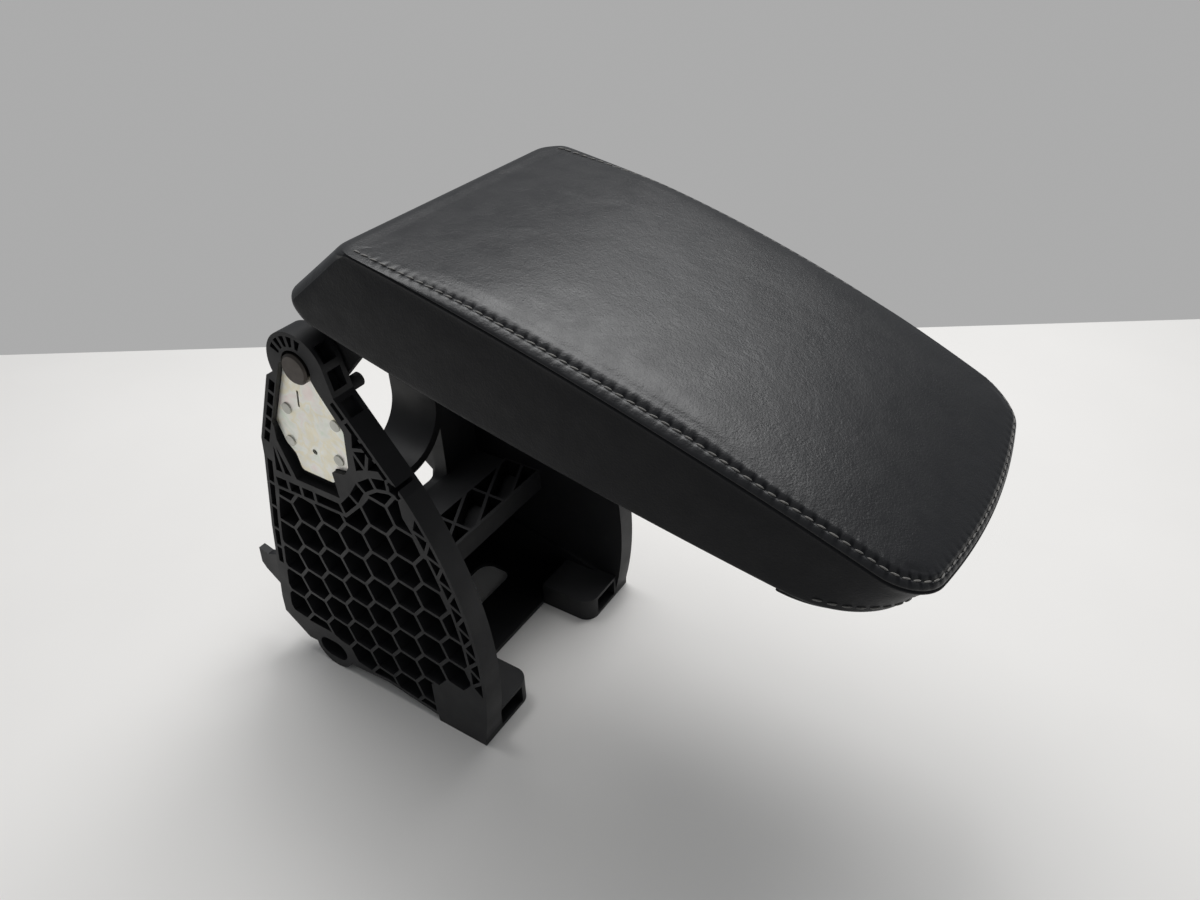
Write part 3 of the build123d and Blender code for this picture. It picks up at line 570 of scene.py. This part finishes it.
def shader(name):
    """A material with one principled shader, and the object's coordinates in metres."""
    material = bpy.data.materials.new(name)
    material.use_nodes = True
    tree = material.node_tree
    where = add(tree, "ShaderNodeTexCoord").outputs["Object"]
    return material, tree, tree.nodes["Principled BSDF"], where


def noise(tree, where, grain, detail=3.0, roughness=0.55, distortion=0.0):
    """Noise whose grain is that many metres across."""
    inputs = {"Vector": where, "Scale": 1 / grain, "Detail": detail}
    inputs.update({"Roughness": roughness, "Distortion": distortion})
    return add(tree, "ShaderNodeTexNoise", inputs).outputs["Fac"]


def spread(tree, value, low, high, start=0.3, end=0.7):
    """Maps a value to a range."""
    inputs = {"Value": value, "From Min": start, "From Max": end, "To Min": low, "To Max": high}
    return add(tree, "ShaderNodeMapRange", inputs).outputs["Result"]


def ramp(tree, value, *stops):
    """A colour ramp from pairs of place and colour."""
    node = add(tree, "ShaderNodeValToRGB", {"Fac": value})
    elements = node.color_ramp.elements
    while len(elements) < len(stops):
        elements.new(0.5)
    for element, (place, colour) in zip(elements, stops):
        element.position = place
        element.color = (*colour, 1)
    return node.outputs["Color"]


def bump(tree, height, depth, below=None):
    """Raises the surface by that depth, in metres, over another bump."""
    inputs = {"Height": height, "Distance": depth, "Strength": 1.0}
    if below is not None:
        inputs["Normal"] = below
    return add(tree, "ShaderNodeBump", inputs).outputs["Normal"]


def leather_finish(s, c, name, gloss, rough, sewn=False):
    """Smooth black leather: fine pores, soft creases, blotched dye and puckers along the stitches."""
    material, tree, skin, where = shader(name)
    dye = ramp(tree, noise(tree, where, 0.045, 4), (0.3, c.leather), (0.75, c.leather_worn))
    tree.links.new(dye, skin.inputs["Base Color"])
    tree.links.new(spread(tree, noise(tree, where, 0.012, 4), *rough), skin.inputs["Roughness"])
    skin.inputs["Specular IOR Level"].default_value = gloss
    pores = {"Vector": where, "Scale": PORES_PER_METRE, "Randomness": 1.0}
    cells = add(tree, "ShaderNodeTexVoronoi", pores, feature="SMOOTH_F1").outputs["Distance"]
    surface = bump(tree, cells, depth=0.00007)
    grain = noise(tree, where, 0.0028, detail=6, roughness=0.62, distortion=0.6)
    surface = bump(tree, grain, depth=0.00014, below=surface)
    creases = noise(tree, where, 0.024, detail=3, roughness=0.5, distortion=0.3)
    surface = bump(tree, creases, depth=0.00045, below=surface)
    if sewn:
        along = add(tree, "ShaderNodeAttribute", attribute_name="seam_along").outputs["Fac"]
        across = add(tree, "ShaderNodeAttribute", attribute_name="seam_across").outputs["Fac"]
        drift = solve(tree, "MULTIPLY", noise(tree, where, 0.009, 2), 0.0022)
        phase = solve(tree, "MULTIPLY", solve(tree, "ADD", along, drift), 2 * pi / s.stitch_pitch)
        wave = solve(tree, "COSINE", phase)
        near = solve(tree, "DIVIDE", across, PUCKER_REACH)
        square = solve(tree, "MULTIPLY", near, near)
        fade = solve(tree, "EXPONENT", solve(tree, "MULTIPLY", square, -1.0))
        surface = bump(tree, solve(tree, "MULTIPLY", wave, fade), depth=0.0001, below=surface)
        between = spread(tree, wave, 1.0, 0.0, -0.9, -0.1)
        holes = solve(tree, "MULTIPLY", between, solve(tree, "POWER", fade, 3.0))
        dulled = spread(tree, holes, gloss, HOLE_GLOSS, 0.0, 0.8)
        tree.links.new(dulled, skin.inputs["Specular IOR Level"])
    tree.links.new(surface, skin.inputs["Normal"])
    return material


def thread_finish(c):
    """Twisted polyester thread, a little fuzzy."""
    material, tree, skin, where = shader("stitching_thread")
    fuzz = noise(tree, where, 0.0012, 4)
    dark = [0.45 * x for x in c.thread]
    tree.links.new(ramp(tree, fuzz, (0.3, dark), (0.65, c.thread)), skin.inputs["Base Color"])
    tree.links.new(spread(tree, fuzz, 0.55, 0.8), skin.inputs["Roughness"])
    skin.inputs["Sheen Weight"].default_value = 0.25
    tree.links.new(bump(tree, noise(tree, where, 0.00035, 2), 0.0001), skin.inputs["Normal"])
    return material


def moulded_finish(name, dark, pale, grain=0.00055, depth=0.00005, rough=(0.46, 0.6)):
    """Moulded plastic: fine matte grain, flow marks and rubbed patches."""
    material, tree, skin, where = shader(name)
    patches = noise(tree, where, 0.06, 5, 0.6)
    tree.links.new(ramp(tree, patches, (0.35, dark), (0.75, pale)), skin.inputs["Base Color"])
    tree.links.new(spread(tree, noise(tree, where, 0.02, 5), *rough), skin.inputs["Roughness"])
    skin.inputs["Specular IOR Level"].default_value = 0.32
    surface = bump(tree, noise(tree, where, grain, 3, 0.6), depth)
    surface = bump(tree, noise(tree, where, 0.03, 2), 0.0004, surface)
    tree.links.new(surface, skin.inputs["Normal"])
    return material


def zinc_finish(c):
    """Zinc plating with faint gold, pink and green passivation and rolling marks."""
    material, tree, skin, where = shader("passivated_zinc")
    film = noise(tree, where, 0.013, 3, 0.5, 0.4)
    places = (0.28, 0.42, 0.5, 0.58, 0.7)
    stops = zip(places, (c.zinc_green, c.zinc, c.zinc_gold, c.zinc, c.zinc_rose))
    tree.links.new(ramp(tree, film, *stops), skin.inputs["Base Color"])
    skin.inputs["Metallic"].default_value = 1.0
    tree.links.new(spread(tree, noise(tree, where, 0.004, 5), 0.42, 0.56), skin.inputs["Roughness"])
    surface = bump(tree, noise(tree, where, 0.0009, 4, 0.6), 0.00005)
    surface = bump(tree, noise(tree, where, 0.018, 2), 0.0003, surface)
    tree.links.new(surface, skin.inputs["Normal"])
    return material


def steel_finish(name, colour, metallic, rough, grain=0.0012, depth=0.00004):
    """Plain or painted steel with an uneven tone and a fine grain."""
    material, tree, skin, where = shader(name)
    tone = noise(tree, where, 0.012, 5, 0.6)
    dark = [0.7 * x for x in colour]
    tree.links.new(ramp(tree, tone, (0.3, dark), (0.7, colour)), skin.inputs["Base Color"])
    skin.inputs["Metallic"].default_value = metallic
    tree.links.new(spread(tree, noise(tree, where, 0.005, 4), *rough), skin.inputs["Roughness"])
    tree.links.new(bump(tree, noise(tree, where, grain, 4, 0.6), depth), skin.inputs["Normal"])
    return material


def dress(material, *nodes):
    """Gives CAD nodes a finish."""
    for name in nodes:
        mesh = frame["nodes"][name].data
        mesh.materials.clear()
        mesh.materials.append(material)


def stitch_row(skin, surface, to_model, row, outward, wanted):
    """Spots for the stitches of a row, each on the leather that it is sewn through."""
    pitch, count, spots = skin.s.stitch_pitch, len(skin.edge), []
    for i in range(count):
        low, high = skin.along[i], skin.along[i + 1]
        marks = [k * pitch for k in range(ceil(low / pitch), ceil(high / pitch))]
        for mark in marks if wanted[i] > 0.5 else []:
            here, ahead = row(i), row((i + 1) % count)
            away = to_model.to_3x3() @ outward(i)
            above = to_model @ here.lerp(ahead, (mark - low) / (high - low)) + away * STITCH_START
            hit, up, _, _ = surface.ray_cast(above, -away, STITCH_REACH)
            if hit is None:
                raise RuntimeError("a stitch found no leather under it")
            spots.append((hit, (to_model.to_3x3() @ (ahead - here)).normalized(), up))
    return spots


def sew(name, spots, s, thread):
    """One object of short thread stitches, each laid along a run on its surface."""
    chance = Random(11)
    bm = bmesh.new()
    for middle, run, up in spots:
        side = up.cross(run).normalized()
        lean_angle = radians(STITCH_LEAN + chance.uniform(-LEAN_SPREAD, LEAN_SPREAD))
        lean = Matrix.Rotation(lean_angle, 3, up)
        turn = lean @ Matrix((run, side, run.cross(side))).transposed()
        size = (s.stitch_length / 2 * chance.uniform(0.92, 1.06), s.thread / 2, s.thread / 2)
        place = Matrix.Translation(middle + up * 0.25 * s.thread)
        lay = place @ turn.to_4x4() @ Matrix.Diagonal((*size, 1))
        bmesh.ops.create_uvsphere(bm, u_segments=8, v_segments=6, radius=1.0, matrix=lay)
    bmesh.ops.recalc_face_normals(bm, faces=bm.faces)
    stitches = new_object(name, smooth_mesh(name, bm), "armrest")
    stitches.data.materials.append(thread)


class ARMREST_OT_leather_pad(bpy.types.Operator):
    """Builds the leather pad, fills it and sews its welt and the row above the lip"""

    bl_idname = "armrest.leather_pad"
    bl_label = "Leather Pad"

    def execute(self, context):
        s, c = context.scene.armrest_sizes, context.scene.armrest_colours
        bm, skin = pad_shape(s)
        to_model = pad_frame(s)
        kind = bm.verts.layers.int["kind"]
        what = [v[kind] for v in bm.verts]
        bmesh.ops.transform(bm, matrix=to_model, verts=bm.verts)
        pad = new_object("leather_pad", smooth_mesh("leather_pad", bm), "armrest")
        held = pad.vertex_groups.new(name="sewn_down")
        held.add([i for i, k in enumerate(what) if k not in (PANEL, BAND)], 1.0, "REPLACE")
        fill_pad(pad, s.puff)
        pad.vertex_groups.clear()
        seam_lines(pad.data, skin, to_model.inverted())
        pad.data.materials.append(leather_finish(s, c, "top_leather", TOP_GLOSS, TOP_ROUGH, sewn=True))
        pad.data.materials.append(leather_finish(s, c, "band_leather", SIDE_GLOSS, SIDE_ROUGH))
        soften = pad.modifiers.new("soften", "SUBSURF")
        soften.levels = soften.render_levels = 1
        context.view_layer.update()
        surface = BVHTree.FromObject(pad, context.evaluated_depsgraph_get())
        thread = thread_finish(c)
        welt = stitch_row(
            skin,
            surface,
            to_model,
            row=lambda i: skin.seam(i, STITCHES),
            outward=lambda i: Vector((0, 0, 1)),
            wanted=skin.sewn,
        )
        sew("welt_stitches", welt, s, thread)
        lip = stitch_row(
            skin,
            surface,
            to_model,
            row=skin.lip_row,
            outward=lambda i: -skin.inward[i].to_3d(),
            wanted=[p.x > s.lip_rear + LIP_ROW_START for p in skin.foot],
        )
        sew("lip_stitches", lip, s, thread)
        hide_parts("leather_top", "leather_band", "foam_pad")
        return {"FINISHED"}


class ARMREST_OT_front_lip(bpy.types.Operator):
    """Builds the soft lip under the nose"""

    bl_idname = "armrest.front_lip"
    bl_label = "Front Lip"

    def execute(self, context):
        s, c = context.scene.armrest_sizes, context.scene.armrest_colours
        bm = bmesh.new()
        bm.from_mesh(frame["nodes"]["front_lip"].data)
        bmesh.ops.remove_doubles(bm, verts=bm.verts, dist=0.01 * MM)
        bmesh.ops.dissolve_limit(bm, angle_limit=radians(1.0), verts=bm.verts, edges=bm.edges)
        sharp = [e for e in bm.edges if len(e.link_faces) == 2 and e.calc_face_angle() > radians(25)]
        bmesh.ops.bevel(
            bm,
            geom=sharp,
            affect="EDGES",
            offset=LIP_EDGE_ROUND,
            segments=3,
            profile=0.5,
            material=-1,
            clamp_overlap=True,
        )
        lip = new_object("soft_lip", smooth_mesh("soft_lip", bm), "armrest")
        lip.data.materials.append(leather_finish(s, c, "lip_leather", SIDE_GLOSS, SIDE_ROUGH))
        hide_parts("front_lip")
        return {"FINISHED"}


class ARMREST_OT_mouldings(bpy.types.Operator):
    """Finishes the moulded bracket, duct collar, lower cover, pad carrier, buffers and bushes"""

    bl_idname = "armrest.mouldings"
    bl_label = "Mouldings"

    def execute(self, context):
        c = context.scene.armrest_colours
        walls = moulded_finish("bracket_plastic", c.moulding, c.moulding_pale)
        dress(walls, "right_side_wall", "left_side_wall", "floor", "shelf", "rear_panel")
        # Painted shade: the duct collar's colour is darkened to half the moulding's, so that its inside
        # looks as dark as it does in shade, ramping up to the plain moulding in patches.
        collar_painted_shade = [0.5 * x for x in c.moulding]
        collar = moulded_finish("collar_plastic", collar_painted_shade, c.moulding, rough=(0.4, 0.55))
        dress(collar, "duct_collar")
        cover = moulded_finish(
            "cover_plastic", c.moulding, c.moulding_pale, grain=0.0009, depth=0.00009, rough=(0.5, 0.65)
        )
        dress(cover, "lower_cover", "pad_carrier")
        buffers = moulded_finish("buffer_rubber", c.rubber, c.moulding_pale, rough=(0.7, 0.85))
        dress(buffers, "right_stop_buffer", "left_stop_buffer")
        bush_dark = [0.8 * x for x in c.bush]
        bushes = moulded_finish("bush_plastic", bush_dark, c.bush, rough=(0.35, 0.5))
        dress(bushes, "right_hinge_bush", "left_hinge_bush")
        return {"FINISHED"}


class ARMREST_OT_hinge_metal(bpy.types.Operator):
    """Finishes the hinge plates, rivets, pins, clips, washers, screws and yoke"""

    bl_idname = "armrest.hinge_metal"
    bl_label = "Hinge Metal"

    def execute(self, context):
        c = context.scene.armrest_colours
        dress(zinc_finish(c), "right_hinge_plate", "left_hinge_plate")
        rivets = steel_finish("rivet_steel", c.rivet, 1.0, (0.3, 0.45))
        dress(rivets, "right_plate_rivets", "left_plate_rivets")
        pins = steel_finish("dark_pin_steel", c.pin, 1.0, (0.32, 0.5))
        dress(pins, "right_hinge_pin", "left_hinge_pin")
        spring = steel_finish("bare_spring_steel", c.spring, 1.0, (0.25, 0.4))
        dress(spring, "right_pin_clip", "left_pin_clip", "right_spring_washer", "left_spring_washer")
        paint = steel_finish(
            "painted_steel", c.black_steel, 0.0, (0.35, 0.5), grain=0.002, depth=0.00008
        )
        dress(paint, "hinge_yoke", "cover_screws")
        return {"FINISHED"}


class ARMREST_OT_stage(bpy.types.Operator):
    """Sets the floor, backdrop, lamps and camera"""

    bl_idname = "armrest.stage"
    bl_label = "Stage"

    def execute(self, context):
        t = context.scene.armrest_stage
        scene = context.scene
        scene.view_settings.view_transform = "Standard"
        bm = bmesh.new()
        bmesh.ops.create_grid(bm, x_segments=1, y_segments=1, size=FLOOR_HALF)
        turn = Matrix.Translation(FLOOR_EDGE) @ Matrix.Rotation(FLOOR_TURN, 4, "Z")
        lay = turn @ Matrix.Translation((0, -FLOOR_HALF, 0))
        bmesh.ops.transform(bm, matrix=lay, verts=bm.verts)
        floor = bpy.data.objects.new("pale_floor", smooth_mesh("pale_floor", bm))
        scene.collection.objects.link(floor)
        material, tree, skin, where = shader("pale_floor")
        shade = [0.97 * x for x in t.floor]
        tone = ramp(tree, noise(tree, where, 0.2), (0.3, shade), (0.7, t.floor))
        tree.links.new(tone, skin.inputs["Base Color"])
        skin.inputs["Roughness"].default_value = 0.6
        floor.data.materials.append(material)
        self.light_room(t, scene)
        lens = bpy.data.cameras.new("photo_camera")
        lens.lens, lens.sensor_width, lens.sensor_fit = t.lens, SENSOR_WIDTH, "HORIZONTAL"
        camera = bpy.data.objects.new("photo_camera", lens)
        camera.location, camera.rotation_euler = t.camera_place, t.camera_turn
        scene.collection.objects.link(camera)
        scene.camera = camera
        return {"FINISHED"}

    def light_room(self, t, scene):
        """Even light from all round, a lamp overhead and one whose sheen shows in the leather."""
        world = bpy.data.worlds.new("studio")
        scene.world = world
        world.use_nodes = True
        tree = world.node_tree
        tree.nodes.clear()
        rays = add(tree, "ShaderNodeLightPath").outputs
        seen = solve(tree, "MAXIMUM", rays["Is Camera Ray"], rays["Is Transmission Ray"])
        light = add(tree, "ShaderNodeBackground", {"Color": (*t.sky, 1), "Strength": t.sky_strength})
        backdrop = add(tree, "ShaderNodeBackground", {"Color": (*t.backdrop, 1), "Strength": 1.0})
        both = add(tree, "ShaderNodeMixShader", {0: seen, 1: light.outputs[0], 2: backdrop.outputs[0]})
        add(tree, "ShaderNodeOutputWorld", {"Surface": both.outputs[0]})
        lamps = (
            ("ceiling_lamp", (-0.42, 0.18, 1.65), 1.1, t.ceiling_power),
            ("sheen_lamp", (0.12, 0.8, 1.6), 1.1, t.sheen_power),
        )
        for name, place, size, power in lamps:
            lamp = bpy.data.lights.new(name, "AREA")
            lamp.shape, lamp.size, lamp.energy = "DISK", size, power
            holder = bpy.data.objects.new(name, lamp)
            holder.location = place
            holder.rotation_euler = (LAMP_AIM - Vector(place)).to_track_quat("-Z", "Y").to_euler()
            scene.collection.objects.link(holder)


PIECES = (ARMREST_OT_leather_pad, ARMREST_OT_front_lip, ARMREST_OT_mouldings, ARMREST_OT_hinge_metal)


class ARMREST_PT_pieces(bpy.types.Panel):
    """Lists the armrest's pieces"""

    bl_idname = "ARMREST_PT_pieces"
    bl_label = "Car Centre Armrest"
    bl_space_type = "VIEW_3D"
    bl_region_type = "UI"
    bl_category = "Armrest"

    def draw(self, context):
        for operator in (*PIECES, ARMREST_OT_stage):
            self.layout.operator(operator.bl_idname)


GROUPS = {
    "armrest_sizes": ArmrestSizes,
    "armrest_colours": ArmrestColours,
    "armrest_stage": ArmrestStage,
}
CLASSES = (*GROUPS.values(), *PIECES, ARMREST_OT_stage, ARMREST_PT_pieces)


def register():
    for cls in CLASSES:
        bpy.utils.register_class(cls)
    for name, group in GROUPS.items():
        setattr(bpy.types.Scene, name, PointerProperty(type=group))


def unregister():
    for name in GROUPS:
        delattr(bpy.types.Scene, name)
    for cls in reversed(CLASSES):
        bpy.utils.unregister_class(cls)


def main():
    register()
    bpy.ops.armrest.stage()
    bpy.ops.armrest.leather_pad()
    bpy.ops.armrest.front_lip()
    bpy.ops.armrest.mouldings()
    bpy.ops.armrest.hinge_metal()


if __name__ == "__main__":
    main()
